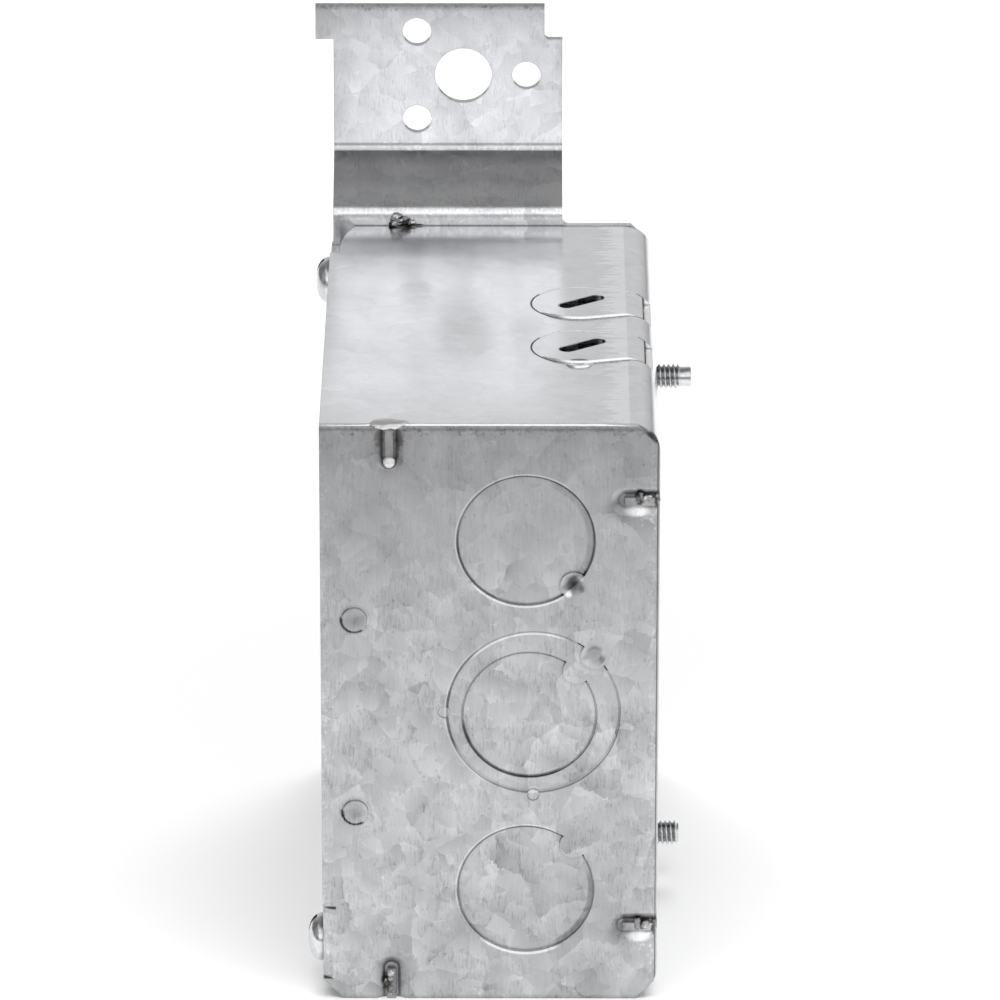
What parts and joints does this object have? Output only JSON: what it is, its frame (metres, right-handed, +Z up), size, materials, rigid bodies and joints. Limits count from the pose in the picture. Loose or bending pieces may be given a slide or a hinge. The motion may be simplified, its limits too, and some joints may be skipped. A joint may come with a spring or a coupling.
{
  "type": "square electrical box",
  "caption": "Square galvanised steel outlet box, open at the front, with knockouts, cable pry-outs, inside clamps and a stand-off bracket for fastening to a wall stud.",
  "frame": {"origin": "centre of the outside of the bottom wall, on which the box stands", "axes": "+X from the open front to the back, +Y from the plain side to the bracket side, +Z up"},
  "size_m": [0.0643, 0.1131, 0.138],
  "materials": {
    "galvanised_sheet": "hot-dip galvanised, spangled",
    "clamp_steel": "galvanised",
    "screw_zinc": "bright zinc plated"
  },
  "bodies": {
    "root": {"wrapper": "galvanised_sheet", "plain_side_plate": "galvanised_sheet", "bracket_side_plate": "galvanised_sheet", "upper_cable_clamp": "clamp_steel", "lower_cable_clamp": "clamp_steel", "upper_cover_screw": "screw_zinc", "lower_cover_screw": "screw_zinc", "upper_clamp_screw": "screw_zinc", "lower_clamp_screw": "screw_zinc"}
  },
  "joints": []
}
